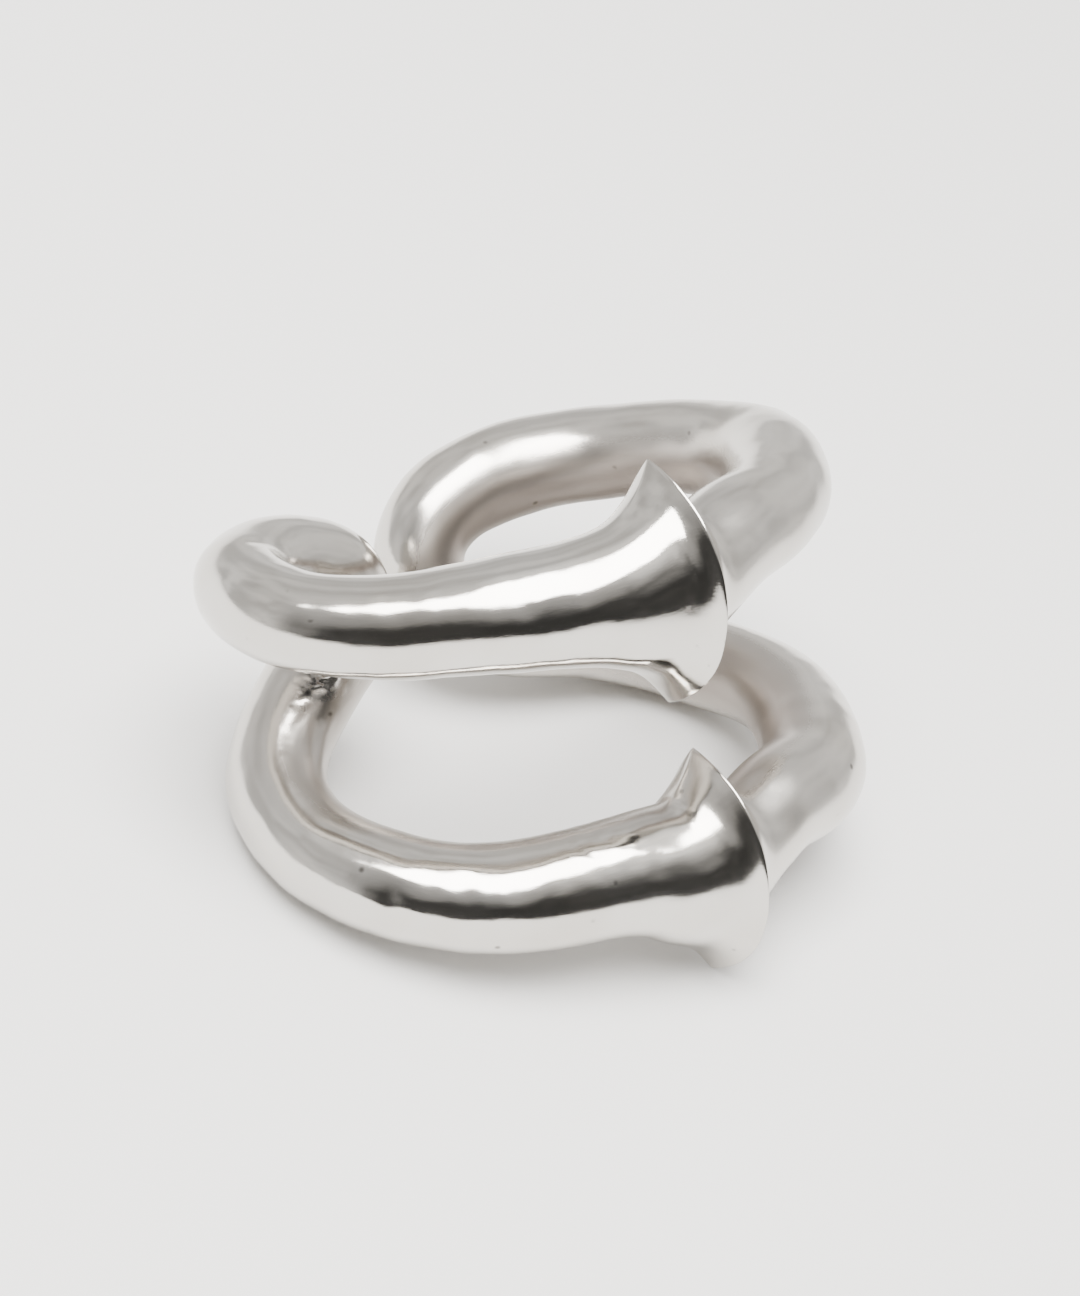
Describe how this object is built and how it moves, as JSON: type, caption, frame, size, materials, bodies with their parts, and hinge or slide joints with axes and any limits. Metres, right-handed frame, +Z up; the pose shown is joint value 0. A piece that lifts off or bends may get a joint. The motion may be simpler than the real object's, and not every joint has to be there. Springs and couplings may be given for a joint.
{
  "type": "horn cuff",
  "caption": "Polished metal cuff with flared horn mouths on its front arms. The rear bow is built as a separate piece that slides out of the mouths; that it does so is a guess.",
  "frame": {"origin": "centre of the bounding box at the floor the cuff rests on", "axes": "+Z up from the floor, +X to the right and +Y away as the picture shows the cuff, horn mouths facing right and back"},
  "size_m": [0.072, 0.061, 0.0506],
  "materials": {
    "polished_silver": "hand polished",
    "polished_silver_lower": "hand polished",
    "polished_silver_rear": "hand polished, softer"
  },
  "bodies": {
    "front_link": {"horn_upper": "polished_silver", "horn_lower": "polished_silver_lower"},
    "rear_link": {"rear_bow": "polished_silver_rear"}
  },
  "joints": [
    {"name": "bow_slide", "type": "slide", "parent": "front_link", "child": "rear_link", "axis": [0.7376, 0.6747, 0.0273], "range_m": [0, 0.008]}
  ]
}
